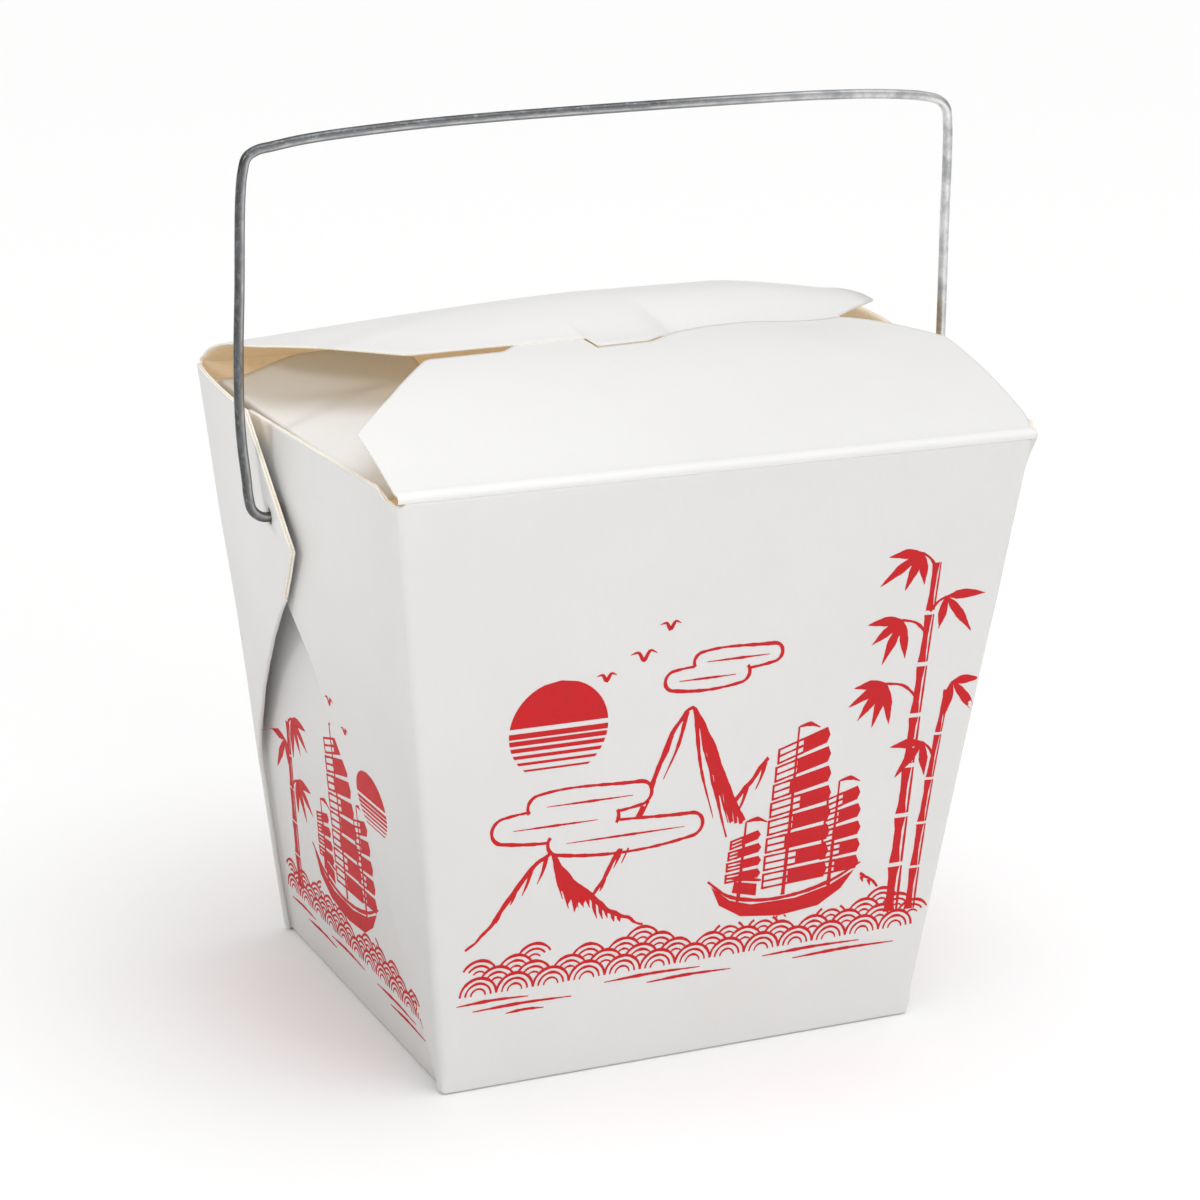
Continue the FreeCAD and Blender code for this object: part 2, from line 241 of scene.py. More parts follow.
# the coated face: white clay coat with a soft mottle, faint fibre lines and fine grain
def makeCoated():
    shade = Shader("coatedWhite")
    point = shade.objectPoint()
    cloud = shade.noise(point, 38.0, 3.0, 0.55)
    fibre = shade.noise(shade.stretched(point, (900.0, 900.0, 300.0)), 1.0, 4.0, 0.6)
    grain = shade.noise(point, 2600.0, 2.0, 0.5)
    deep = (0.7605, 0.7523, 0.7400, 1.0)
    base = shade.blend(cloud, 0.36, 0.66, 1.0, (0.780, 0.774, 0.766, 1.0), deep)
    base = shade.blend(fibre, 0.42, 0.62, 0.32, base, deep)
    # painted highlight along the front fold, where the bend catches the light: Y beyond -45.5 mm, Z from 107 to
    # 110 mm
    front = shade.ramp(shade.node("SeparateXYZ", out=1, Vector=point) * -10.0, [(0.452, 0.0), (0.458, 1.0)])
    highlightBand = shade.ramp(shade.node("SeparateXYZ", out=2, Vector=point) * 10.0 - 1.0 + fibre * 0.004,
                      [(0.070, 0.0), (0.0745, 0.42), (0.090, 0.42), (0.099, 0.0)])
    base = shade.mix(front * highlightBand, base, (0.93, 0.925, 0.915, 1.0))
    relief = shade.bump(fibre, 0.10, 0.00025)
    shade.set(Base_Color=base, Roughness=0.40 + cloud * 0.16, IOR=1.48, Specular_IOR_Level=0.42,
              Normal=shade.bump(grain, 0.07, 0.00012, relief))
    return shade.material


# the uncoated face: warm cream board with long fibres, and a painted glow
def makeInside():
    shade = Shader("creamInside")
    point = shade.objectPoint()
    cloud = shade.noise(point, 60.0, 3.0, 0.6)
    fibre = shade.noise(shade.stretched(point, (700.0, 1400.0, 1400.0)), 1.0, 5.0, 0.65)
    base = shade.blend(fibre, 0.38, 0.66, 1.0, (0.84, 0.74, 0.58, 1.0), (0.77, 0.66, 0.49, 1.0))
    base = shade.mix(cloud * 0.35, base, (0.86, 0.78, 0.64, 1.0))
    shade.set(Base_Color=base, Roughness=0.74 + cloud * 0.12, IOR=1.46)
    shade.set(Emission_Color=(1.0, 0.80, 0.55, 1.0), Emission_Strength=0.13)   # painted glow: emission brightens the shaded inside, standing in for light through the thin board
    shade.set(Normal=shade.bump(fibre, 0.28, 0.0003))
    return shade.material


# the cut edge: pale, with darker torn fibres
def makeCutEdge():
    shade = Shader("cutEdge")
    point = shade.objectPoint()
    fibre = shade.noise(point, 2200.0, 3.0, 0.6)
    base = shade.blend(fibre, 0.35, 0.7, 1.0, (0.93, 0.90, 0.83, 1.0), (0.86, 0.80, 0.68, 1.0))
    shade.set(Base_Color=base, Roughness=0.82)
    shade.set(Normal=shade.bump(fibre, 0.4, 0.0002))
    return shade.material


boardFaces = (makeCoated(), makeInside(), makeCutEdge())

# The carton is one folded sheet: walls, corner webs, floor, dust flaps and back lid flap.
# Where each web's free edge runs, up from the bottom corner: height, distance from the
# middle of the end towards the web's own corner, and stand off the end's plane.
backWeb = {
    "foldZ": 78.8, "tipZ": 89.5,
    "heights": (0.7, 6, 14, 24, 33, 37, 41.7, 47.0, 52.2, 58.7, 66.6, 78.8, 84, 89.5, 109.0),
    "along": (36.6, 37.0, 37.5, 38.1, 38.4, 37.2, 34.2, 30.3, 26.5, 21.1, 12.4, -4.3, -8.4, -12.2, 6.4),
    "stand": (0.2, 0.35, 0.5, 0.6, 0.8, 1.1, 1.5, 1.9, 2.3, 2.7, 3.9, 6.3, 6.5, 6.6, 5.8),
    "cornerTop": 107.1,
    "rise": 0.0, "riseSpan": (8.0, 22.0), "riseFade": 0.3,
    "belly": 0.8, "tipBelly": 0.62, "bellyRows": (0.5, 0.8),
    "bulge": 0.0,
}
frontWeb = {
    "foldZ": 78.8, "tipZ": 88.5,
    "heights": (0.7, 3, 6, 14, 21, 33, 44, 56, 67, 72, 78.8, 84, 88.5, 107.1),
    "along": (36.6, 36.3, 34.9, 30.8, 27.1, 20.7, 14.9, 8.6, 2.8, 0.2, -3.6, -6.8, -9.2, -13.4),
    "stand": (0.1, 0.1, 0.1, 0.15, 0.1, -0.05, 0.7, 1.8, 2.2, 3.0, 3.8, 3.5, 3.2, 2.9),
    "cornerTop": 106.6,
    "rise": 1.55, "riseSpan": (5.0, 7.2), "riseFade": 1.0,
    "belly": 0.8, "tipBelly": 0.8, "bellyRows": (0.5, 0.8),
    "bulge": 2.1,            # the free part bows out under the back web
}
# the right end has sprung open a little more
rightBackWeb = dict(backWeb, rise=6.8)
rightFrontWeb = dict(frontWeb, stand=frontWeb["stand"][:-1] + (4.0,), tipBelly=0.28, bellyRows=(0.93, 1.0),
                     cornerTop=107.0, rise=1.9, riseSpan=(1.2, 3.4))
fold = {
    "plies": 0.88, "inner": -1.02,        # ply to ply, and the end wall behind the outer ply
    "turnBack": 2.1,                      # the inner ply starts this far from the fold
    "strip": 9, "flat": 30, "corner": 9,  # columns round the fold, along a ply, round the corner
}

# rows of the walls and webs as shares of their height; the webs' folds end at foldShare
foldShare, tipShare = 0.74, 0.84
rowShare = np.concatenate([
    np.linspace(0.0, 0.05, 7), np.linspace(0.05, foldShare, 53)[1:],
    np.linspace(foldShare, tipShare, 9)[1:], np.linspace(tipShare, 0.97, 12)[1:],
    np.linspace(0.97, 1.0, 6)[1:]])
foldRow = int(np.argmin(abs(rowShare - foldShare)))


# how far an end is pressed in at a height and a place across it
def endPress(y, z):
    across = np.cos(np.clip(y / halfY(z), -1, 1) * math.pi / 2)
    return pail["endBow"] * across * np.sin(np.clip(z / pail["pressTop"], 0, 1) * math.pi) ** 0.8


# heights of the rows at a web's free edge, so that fold, cut and rim start on a row
def edgeHeights(web, bottom):
    return np.interp(rowShare, (0, foldShare, tipShare, 1),
                     (bottom, web["foldZ"], web["tipZ"], web["heights"][-1]))


# One corner: from the wall's last column round the soft corner, out along the web's outer
# ply to the fold, round it, and back along the inner ply to the end wall. Each ply is ruled
# from the corner edge to the free edge; its stand off the end grows with the share along
# the ruling to the power "belly".
def cornerColumns(end, side, web):
    bottom = pail["bottomRadius"]
    cornerZ = bottom + (web["cornerTop"] - bottom) * rowShare
    freeZ = edgeHeights(web, bottom)
    freeY = np.interp(freeZ, web["heights"], web["along"])
    freeStand = smoothCurve(freeZ, web["heights"], web["stand"])
    above = rowShare > tipShare
    freeY = np.where(above, np.interp(rowShare, (tipShare, 1), web["along"][-2:]), freeY)
    freeStand = np.where(above, np.interp(rowShare, (tipShare, 1), web["stand"][-2:]), freeStand)
    cornerY = halfY(cornerZ)
    reach = cornerY - freeY
    radius = np.minimum(pail["cornerRadius"], 0.45 * reach)
    belly = web["belly"] + (web["tipBelly"] - web["belly"]) * smoothStep(*web["bellyRows"], rowShare)
    bulge = web["bulge"] * smoothStep(0.5, 0.76, rowShare) * (1 - smoothStep(0.9, 1.0, rowShare))

    def ply(share, depth):
        share = np.broadcast_to(share, (len(rowShare), share.shape[-1]))
        z = cornerZ[:, None] + (freeZ - cornerZ)[:, None] * share
        y = cornerY[:, None] - reach[:, None] * share
        rim = smoothStep(0.93, 1.0, rowShare)[:, None] * smoothStep(*web["riseSpan"], cornerY[:, None] - y)
        z = z + web["rise"] * rim * (1 - share) ** web["riseFade"]
        stand = freeStand[:, None] * share ** belly[:, None] + bulge[:, None] * np.sin(math.pi * share)
        x = halfX(z) + stand - depth
        return np.stack([x, y, z], -1)

    start = (radius / reach)[:, None]
    share = start + (1 - start) * np.linspace(0, 1, fold["flat"])[None, :] ** 0.9
    outer = ply(share, 0.0)
    turnBack = np.minimum(fold["turnBack"], 0.8 * reach)[:, None] / reach[:, None]
    backShare = 1 - (1 - turnBack) * np.linspace(0, 1, fold["flat"])[None, :]
    inner = ply(backShare, fold["plies"])

    # the soft corner, a quarter circle
    turn = np.linspace(0, math.pi / 2, fold["corner"])[None, 1:-1]
    z = np.broadcast_to(cornerZ[:, None], (len(rowShare), fold["corner"] - 2))
    curve = np.stack([
        halfX(z) - radius[:, None] * (1 - np.sin(turn)),
        halfY(z) - radius[:, None] * (1 - np.cos(turn)), z], -1)

    # the fold, a half circle about the middle of the two plies
    bend = np.linspace(0, math.pi, fold["strip"])[None, 1:-1]
    half = fold["plies"] / 2
    loop = outer[:, -1:, :] + np.stack([
        -half * (1 - np.cos(bend)), -half * np.sin(bend), 0 * bend], -1)

    columns = np.concatenate([curve, outer, loop, inner], 1)
    columns[..., 0] *= end
    columns[..., 1] *= side
    stripStart = curve.shape[1] + outer.shape[1] - 1
    return columns, (stripStart, stripStart + loop.shape[1] + 1)


# a wall across X: straight in plan, with a slow outward belly
def acrossX(side):
    share = np.linspace(-1, 1, pail["columnsX"])
    top = pail["backWallTop"] if side > 0 else pail["wallTop"]
    z = pail["bottomRadius"] + (top - pail["bottomRadius"]) * rowShare
    z = np.broadcast_to(z[:, None], (len(z), len(share)))
    x = (halfX(z) - pail["cornerRadius"]) * share
    belly = pail["wallBow"] * np.cos(share * math.pi / 2)[None, :] * np.sin(z / pail["wallHeight"] * math.pi)
    y = halfY(z) + belly
    return np.stack([x * -side, y * side, z], -1)


# an end wall across Y, pressed in a little; its first and last columns lie inside the corners
def acrossY(end):
    share = np.linspace(-1, 1, pail["columnsY"])
    z = pail["bottomRadius"] + (pail["endHeight"] - pail["bottomRadius"]) * rowShare
    z = np.broadcast_to(z[:, None], (len(z), len(share)))
    y = (halfY(z) - pail["endInset"]) * share
    x = halfX(z) + fold["inner"] - endPress(y, z)
    return np.stack([x * end, y * end, z], -1)


# The bail's holes: in each ply the four quads round the point nearest the bail are left out
# and their eight outer points move onto an oval.
hole = {"y": -1.2, "z": 92.6, "width": 1.25, "height": 1.6, "near": 1.7}


def punchHoles(loop, keep):
    rows, columns = loop.shape[:2]
    for end in (-1, 1):
        far = np.hypot(loop[..., 1] - hole["y"], loop[..., 2] - hole["z"]) + 99 * (loop[..., 0] * end < 0)
        column = 1
        while column < columns - 1:
            row = int(np.argmin(far[:, column]))
            nearest = far[row, column]
            beside = min(far[:, column - 1].min(), far[:, column + 1].min())
            if nearest < hole["near"] and nearest <= beside:
                old = loop[row - 1:row + 2, column - 1:column + 2].copy()
                slopeY = (old[1, 2, 0] - old[1, 0, 0]) / (old[1, 2, 1] - old[1, 0, 1])
                slopeZ = (old[2, 1, 0] - old[0, 1, 0]) / (old[2, 1, 2] - old[0, 1, 2])
                side = np.sign(old[1, 2, 1] - old[1, 0, 1])
                for i, j in ((0, 0), (0, 1), (0, 2), (1, 0), (1, 2), (2, 0), (2, 1), (2, 2)):
                    turn = math.atan2(i - 1, (j - 1) * side)
                    y = hole["y"] + hole["width"] * math.cos(turn)
                    z = hole["z"] + hole["height"] * math.sin(turn)
                    x = old[1, 1, 0] + slopeY * (y - old[1, 1, 1]) + slopeZ * (z - old[1, 1, 2])
                    loop[row - 1 + i, column - 1 + j] = (x, y, z)
                keep[row - 1:row + 1, column - 1:column + 1] = False
                column += 3
            column += 1


# The loop of walls, counted round from the front wall, seen from above anticlockwise
def wallLoop():
    parts, cuts, count = [], [], 0

    def add(columns, strip=None):
        nonlocal count
        if strip is not None:
            cuts.append((count + strip[0], count + strip[1]))
        parts.append(columns)
        count += columns.shape[1]

    def addCorner(end, side, web, backwards):
        columns, strip = cornerColumns(end, side, web)
        if backwards:
            columns = columns[:, ::-1]
            strip = (columns.shape[1] - 1 - strip[1], columns.shape[1] - 1 - strip[0])
        add(columns, strip)

    add(acrossX(-1))
    addCorner(1, -1, rightFrontWeb, False)
    add(acrossY(1))
    addCorner(1, 1, rightBackWeb, True)
    add(acrossX(1))
    addCorner(-1, 1, backWeb, False)
    add(acrossY(-1))
    addCorner(-1, -1, frontWeb, True)
    parts.append(parts[0][:, :1])
    loop = np.concatenate(parts, 1)
    keep = np.ones((loop.shape[0] - 1, loop.shape[1] - 1), bool)
    for first, last in cuts:
        keep[foldRow:, first:last] = False
    punchHoles(loop, keep)
    return loop, keep, [p.shape[1] for p in parts]


# the floor: the wall's bottom row turns in by a quarter circle and meets a flat sheet
def floorPatches(loop, widths):
    radius = pail["bottomRadius"]
    insetX = halfX(radius) + fold["inner"] - radius
    insetY = halfY(radius) - radius
    bottom = loop[0]
    rim = bottom.copy()
    rim[:, 0] = np.clip(bottom[:, 0], -insetX, insetX)
    rim[:, 1] = np.clip(bottom[:, 1], -insetY, insetY)
    starts = np.cumsum([0] + widths)
    for part in (1, 3, 5, 7):
        columns = slice(starts[part], starts[part + 1])
        rim[columns, 0] = insetX * np.sign(bottom[columns, 0].mean())
        rim[columns, 1] = insetY * np.sign(bottom[columns, 1].mean())
    frontX = bottom[starts[0]:starts[1], 0] * insetX / abs(bottom[starts[0], 0])
    endY = bottom[starts[2]:starts[3], 1] * insetY / abs(bottom[starts[2], 1])
    for part, values, axis in ((0, frontX, 0), (2, endY, 1), (4, -frontX, 0), (6, -endY, 1)):
        rim[starts[part]:starts[part + 1], axis] = values
    rim[-1] = rim[0]
    rim[:, 2] = 0.0
    turn = np.linspace(0, math.pi / 2, 6)[:, None, None]
    bend = rim[None] + (bottom - rim)[None] * np.concatenate(
        [np.sin(turn), np.sin(turn), 1 - np.cos(turn)], -1)
    x, y = np.meshgrid(frontX[::-1], endY)
    lift = 0.35 * np.cos(x / insetX * math.pi / 2) * np.cos(y / insetY * math.pi / 2)
    flat = np.stack([x, y, lift], -1)
    return [gridPatch(bend), gridPatch(flat)]


# a dust flap: leaves the end wall's top row by a quarter turn and rises to the middle; a soft
# crease crosses it under the back flap
dust = {"length": 30.0, "taper": 13.0, "backTaper": 7.15, "radius": 0.8, "slope": 0.11, "dip": 2.2,
        "crease": 0.35, "ridgeAt": 0.43, "dipAt": 0.57, "creaseWidth": 0.08, "backRise": 2.8}


def dustPatch(end, topRow):
    inner = slice(3, len(topRow) - 3)
    row = topRow[inner]
    span = row[:, 1] / abs(row[0, 1])
    reach = np.linspace(0, 1, 25)[1:]
    turn = np.linspace(0, math.pi / 2, 5)
    radius = dust["radius"]
    out = np.concatenate([radius * (1 - np.cos(turn)), radius + dust["length"] * reach])[:, None]
    up = np.concatenate([radius * np.sin(turn), radius + 0 * reach])[:, None]
    far = np.clip((out - radius) / dust["length"], 0, 1)
    x = row[None, :, 0] - end * out
    cross = span[None, :]
    half = abs(row[0, 1]) - far * np.where(cross > 0, dust["backTaper"], dust["taper"])
    y = cross * half
    droop = dust["dip"] * far * smoothStep(0.1, 1.0, -cross) * smoothStep(0, 0.6, far)
    ridge, dip = (np.exp(-((cross - dust[at]) / dust["creaseWidth"]) ** 2) for at in ("ridgeAt", "dipAt"))
    crease = dust["crease"] * (ridge - dip) + dust["backRise"] * smoothStep(0.48, 1.0, cross)
    z = row[None, :, 2] + up + dust["slope"] * (out - radius) * (out > radius) - droop
    z = z + crease * smoothStep(0.04, 0.45, far)
    return gridPatch(np.stack([x, y, z], -1))


lid = {
    "rise": 10.0,                            # of the front flap's arch
    "foldY": 46.85, "foldRise": 1.0, "foldRun": 1.7,
    "backStart": 45.6, "backFoldRise": 0.9,  # where the back flap's bent fold ends
    "rightDroop": 0.7, "leftDroop": 1.1,     # soft sags of the front and of the back flap
    "drawIn": 0.0007, "backDrawIn": 0.0021,  # the folds are drawn in to the wall's right corner
    "drawFrom": 41,
    "half": 57.2, "backHalf": 57.4, "tipColumns": (57.8, 58.3),
    "rows": 44, "columns": 117,
}


# height of the front flap's coated face: a low arch over the whole depth
def frontArch(x, y):
    droop = lid["rightDroop"] * smoothStep(26, 42, x) * (1 - smoothStep(42, 52, x)) * smoothStep(-20, 2, y)
    return pail["wallHeight"] + 0.25 + lid["rise"] * (1 - (y / pail["halfTopY"]) ** 2) - droop


# height of the back flap: it climbs fast from its fold, stands highest near the middle of
# its depth and comes down to the front flap's height at the lock; its sides climb less.
backCrest = {
    "y": (-7.5, 2.0, 12.0, 20.0, 27.0, 33.0, 38.0, 43.0, 46.85),
    "middle": (9.8, 10.1, 11.6, 12.1, 11.6, 10.3, 7.9, 3.8, 0.0),
    "sides": (9.6, 9.5, 9.3, 8.5, 7.6, 6.2, 4.7, 2.6, 0.0),
}


def backArch(x, y):
    middle = smoothCurve(y, backCrest["y"], backCrest["middle"])
    sides = smoothCurve(y, backCrest["y"], backCrest["sides"])
    left = np.clip((8 - x) / 65.0, 0, 1) ** 1.3            # full at the left tip
    right = 0.75 * np.clip((x - 36) / 22.0, 0, 1) ** 1.3
    share = np.maximum(left, right)
    # left of the slit it lies on the front flap, right of it under that flap
    lock = 0.45 - 1.55 * smoothStep(9.0, 15.0, x) * (1 - smoothStep(6.0, 22.0, y))
    near = 1 - smoothStep(4.0, 30.0, y)
    middle = middle - lid["leftDroop"] * smoothStep(-28, -42, x) * np.exp(-((y - 10.5) / 6.0) ** 2)
    return pail["wallHeight"] + 0.1 + middle + (sides - middle) * share + lock * near


# the lips, as distance in Y for places along X
frontLip = {
    "x": (-57.3, -54.0, -47.3, -35.6, -34.2, -20.9, -20.2, -16.6, -15.8, -4.10, -4.02, 6.7, 13.3, 20.8,
          30.0, 39.0, 43.0, 46.6, 58.7),
    "y": (-29.5, -25.8, -18.3, -4.0, -3.0, -2.3, -2.1, 1.3, 1.62, 1.62, -4.55, -3.75, 0.75, 3.0,
          3.7, 3.6, 3.5, 3.1, -14.1),
}
backLip = {
    "x": (-57.4, -55.5, -54.4, -52.0, -36.9, -35.6, -3.72, -3.62, 6.5, 12.9, 13.0, 13.4, 46.0, 48.5, 59.6),
    "y": (23.0, 19.0, 17.7, 14.6, 1.4, 0.9, 0.9, -4.15, -3.4, 0.8, 0.8, -6.5, -5.0, 6.1, 13.4),
}


# the front flap on a grid: columns along X, rows from the fold to the lip
def frontFlapPatch():
    fine = np.linspace(-lid["half"], lid["half"], lid["columns"])
    x = np.unique(np.concatenate([fine, frontLip["x"], lid["tipColumns"]]))
    lipY = np.interp(x, frontLip["x"], frontLip["y"])
    start = -lid["foldY"] + lid["foldRun"]
    share = np.linspace(0, 1, lid["rows"])[:, None]
    y = start + (lipY - start) * share
    across = np.broadcast_to(x, y.shape)
    z = frontArch(across, y)
    drawn = 1 - lid["drawIn"] * np.maximum(across - lid["drawFrom"], 0) * (1 - smoothStep(0, 0.12, share))
    flat = np.stack([across * drawn, y, z], -1)
    # the fold: flush with the wall from its top edge, then up and over
    rise = np.linspace(pail["wallTop"] + 0.02, pail["wallHeight"], 5)[:, None]
    low = np.stack([x * drawn[0] + 0 * rise, -halfY(rise) - 0.01 + 0 * x, rise + 0 * x], -1)
    first, last = low[-1], flat[0]
    t = np.linspace(0, 1, 12)[1:-1, None, None]
    guide = first + np.array([0, 0.02, lid["foldRise"]])
    over = first * (1 - t) ** 2 + 2 * guide * t * (1 - t) + last * t ** 2
    return gridPatch(np.concatenate([low, over, flat], 0))


def backFlapPatch(topRow):
    wallX = topRow[:, 0]
    x = np.unique(np.concatenate([wallX[abs(wallX) < lid["backHalf"]], backLip["x"]]))
    lipY = np.interp(x, backLip["x"], backLip["y"])
    start = lid["backStart"]
    share = np.linspace(0, 1, lid["rows"])[:, None]
    y = start + (lipY - start) * share
    across = np.broadcast_to(x, y.shape)
    drawn = 1 - lid["backDrawIn"] * np.maximum(across - lid["drawFrom"], 0) * (1 - smoothStep(0, 0.35, share))
    flat = np.stack([across * drawn, y, backArch(across, y)], -1)
    low = np.stack([x * drawn[0], 0 * x + pail["halfTopY"] - 0.03, 0 * x + pail["backWallTop"]], -1)
    t = np.linspace(0, 1, 9)[:-1, None, None]
    guide = low + np.array([0, 0, lid["backFoldRise"]])
    over = low[None] * (1 - t) ** 2 + 2 * guide[None] * t * (1 - t) + flat[0][None] * t ** 2
    points = np.concatenate([over, flat], 0)[:, ::-1]
    return gridPatch(points)


def buildCarton():
    loop, keep, widths = wallLoop()
    starts = np.cumsum([0] + widths)
    patches = [gridPatch(loop, keep)] + floorPatches(loop, widths)
    for end, part in ((1, 2), (-1, 6)):
        patches.append(dustPatch(end, loop[-1, starts[part]:starts[part + 1]]))
    patches.append(backFlapPatch(loop[-1, starts[4]:starts[5]]))
    carton = makeMesh("carton_board", patches)
    boardThickness(carton)
    # above the end walls a web's inner ply shows its bare face
    rimHeight, rimX, facing = 103.5, 56.6, -0.02
    for face in carton.data.polygons:
        centre = face.center * 1000
        if centre.z > rimHeight and abs(centre.x) > rimX and face.normal.x * centre.x < facing:
            face.material_index = 1
    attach(carton, "carton")
    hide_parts("carton_body")
    return carton


def buildFrontFlap():
    flap = makeMesh("front_lid_board", [frontFlapPatch()])
    hinge = Vector((0, -lid["foldY"], pail["wallHeight"])) * 0.001
    # the crease is pressed thin
    boardThickness(flap, lambda co: smoothStep(
        0.0002, 0.0014, math.hypot(co.y - hinge.y, co.z - hinge.z)) * 0.7 + 0.3)
    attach(flap, "lid")
    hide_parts("front_lid_flap")


carton = buildCarton()
print("carton board folded")
buildFrontFlap()
print("front lid flap laid")

# The red print, drawn in millimetres on a panel: across to the right and up, as seen from
# outside. A shape is points and faces; hidden() tells which points lie behind something.
printing = {
    "ink": 0.036, "proud": 0.028,                   # thickness, height over the board
    "step": 0.0012, "layers": 24,                   # each shape a little higher, so that none coincide
    "cell": 7.0,                                    # largest piece of a shape, so it follows a bow
    "gap": 0.6, "aside": 0.02,                      # bare strip along a web's fold, and the cast beside it
    "from": 200,                                    # cast from this far outside
}


def wobble(at, seed, size):
    return size * (np.sin(at * 1.9 + seed * 2.3) + 0.6 * np.sin(at * 4.7 + seed * 5.1)
                   + 0.4 * np.sin(at * 9.7 + seed * 1.7)) / 1.4


# a stroke of changing width along a smooth line, broken where it is hidden
def stroke(points, widths, hidden=None, seed=0.0, rough=0.05, fine=0.7):
    points = np.asarray(points, float)
    chord = np.concatenate([[0], np.cumsum(np.linalg.norm(np.diff(points, axis=0), axis=1))])
    at = np.linspace(0, chord[-1], max(3, int(chord[-1] / fine) + 1))
    line = np.stack([smoothCurve(at, chord, points[:, k]) for k in (0, 1)], -1)
    tangent = np.gradient(line, axis=0)
    tangent /= np.linalg.norm(tangent, axis=1)[:, None]
    across = np.stack([-tangent[:, 1], tangent[:, 0]], -1)
    half = np.interp(at / chord[-1], np.linspace(0, 1, len(widths)), widths) / 2
    half = np.maximum(half + wobble(at, seed + chord[-1], rough) * np.minimum(1, half / 0.25), 0.03)
    left, right = line + across * half[:, None], line - across * half[:, None]
    shown = np.ones(len(at), bool) if hidden is None else ~hidden(line[:, 0], line[:, 1])
    shapes = []
    for run in np.split(np.arange(len(at)), np.flatnonzero(np.diff(shown)) + 1):
        count = len(run)
        if shown[run[0]] and count > 1:
            row = np.arange(count - 1)
            shapes.append((np.concatenate([right[run], left[run]]),
                           np.stack([row, row + 1, row + 1 + count, row + count], -1)))
    return shapes


# a filled outline, cut into triangles
def filled(outline):
    outline = np.asarray(outline, float)
    corners = [Vector((x, z, 0)) for x, z in outline]
    faces = np.array(tessellate_polygon([corners]))
    a, b, c = (outline[faces[:, k]] for k in range(3))
    area = (b[:, 0] - a[:, 0]) * (c[:, 1] - a[:, 1]) - (b[:, 1] - a[:, 1]) * (c[:, 0] - a[:, 0])
    faces[area < 0] = faces[area < 0][:, ::-1]
    return [(outline, faces[abs(area) > 1e-4])]


def moved(shapes, scale, across, up):
    return [(points * scale + np.array([across, up]), faces) for points, faces in shapes]


# a peak: its ridge, solid shade under the top on one side and hatching down both flanks
def peak(knots, seed, base, hidden, pitch=1.3):
    knots = np.asarray(knots, float)
    top = knots[np.argmax(knots[:, 1])]

    def height(x):
        return np.interp(x, knots[:, 0], knots[:, 1], left=-99, right=-99) + wobble(x / 2.2, seed, 0.3)

    x = np.arange(knots[0, 0], knots[-1, 0], 0.9)
    shapes = stroke(np.stack([x, height(x)], -1), (0.4, 0.95, 0.7, 1.1, 0.4), hidden, seed)
    reach = knots[-1, 0] - top[0]
    down = np.linspace(0, 1, 12)
    outer = np.stack([top[0] + reach * 0.42 * down, height(top[0] + reach * 0.42 * down) - 0.2], -1)
    inner = outer - np.stack([0 * down, np.sin(down * math.pi) * (3.2 + 2.2 * (np.arange(12) % 2))], -1)
    if hidden is None or not hidden(outer[:, 0], outer[:, 1]).any():
        shapes += filled(np.concatenate([outer, inner[-2:0:-1]]))
    for side, step, length, drift in ((1, pitch, 0.62, 0.24), (-1, 2.1 * pitch, 0.36, -0.30)):
        stop = knots[-1, 0] if side > 0 else knots[0, 0]
        for number, place in enumerate(np.arange(top[0] + side * 0.8, stop - side * 1.5, side * step)):
            fall = (height(place) - base) * length * (0.72 + wobble(number * 1.1, seed, 0.28))
            if fall > 1.0:
                start = height(place) - 0.2
                shapes += stroke([(place, start), (place + drift * fall * 0.35, start - fall * 0.5),
                                  (place + drift * fall, start - fall)], (0.85, 0.55, 0.12), hidden, number)
    return shapes, lambda px, pz: pz < height(px) - 0.1


# a bank of cloud: rounded bars lying on each other, of which only the outline shows
def cloudBank(bars):
    def within(x, z, shrink=0.0, leave=None):
        inside = np.zeros(np.shape(x), bool)
        for number, (start, stop, level, radius) in enumerate(bars):
            if number != leave:
                near = np.clip(x, start, stop)
                inside |= np.hypot(x - near, z - level) < radius - shrink
        return inside

    shapes = []
    for number, (start, stop, level, radius) in enumerate(bars):
        def behind(x, z):
            return within(x, z, 0.1, number)

        turn = np.linspace(0, math.pi, 9)
        right = np.stack([stop + radius * np.sin(turn), level + radius * np.cos(turn)], -1)
        left = np.stack([start - radius * np.sin(turn), level - radius * np.cos(turn)], -1)
        loop = np.concatenate([right, left, right[:1]])
        shapes += stroke(loop, (0.7, 0.45, 0.7, 0.4, 0.7), behind, number, fine=0.5)
        inner = radius - 1.0
        shapes += stroke([(start + inner, level - 0.2), (stop - inner, level - 0.2)], (0.1, 0.45, 0.1),
                         behind, number)
    return shapes, within


# the sun: the upper part is solid, below it level bars get finer
def sunDisc(across, up, radius):
    shapes = []
    levels = [(1.0, 0.12)] + [(0.02 - 0.15 * k, -0.09 - 0.15 * k + 0.014 * k) for k in range(6)]
    for high, low in levels:
        level = np.linspace(high, low, 16 if high > 0.5 else 4)
        reach = np.sqrt(np.maximum(0, 1 - level**2))
        right = np.stack([reach, level], -1)
        left = np.stack([-reach, level], -1)[::-1]
        outline = np.concatenate([right, left[:-1] if high > 0.99 else left])
        shapes += filled(outline * radius + np.array([across, up]))
    return shapes


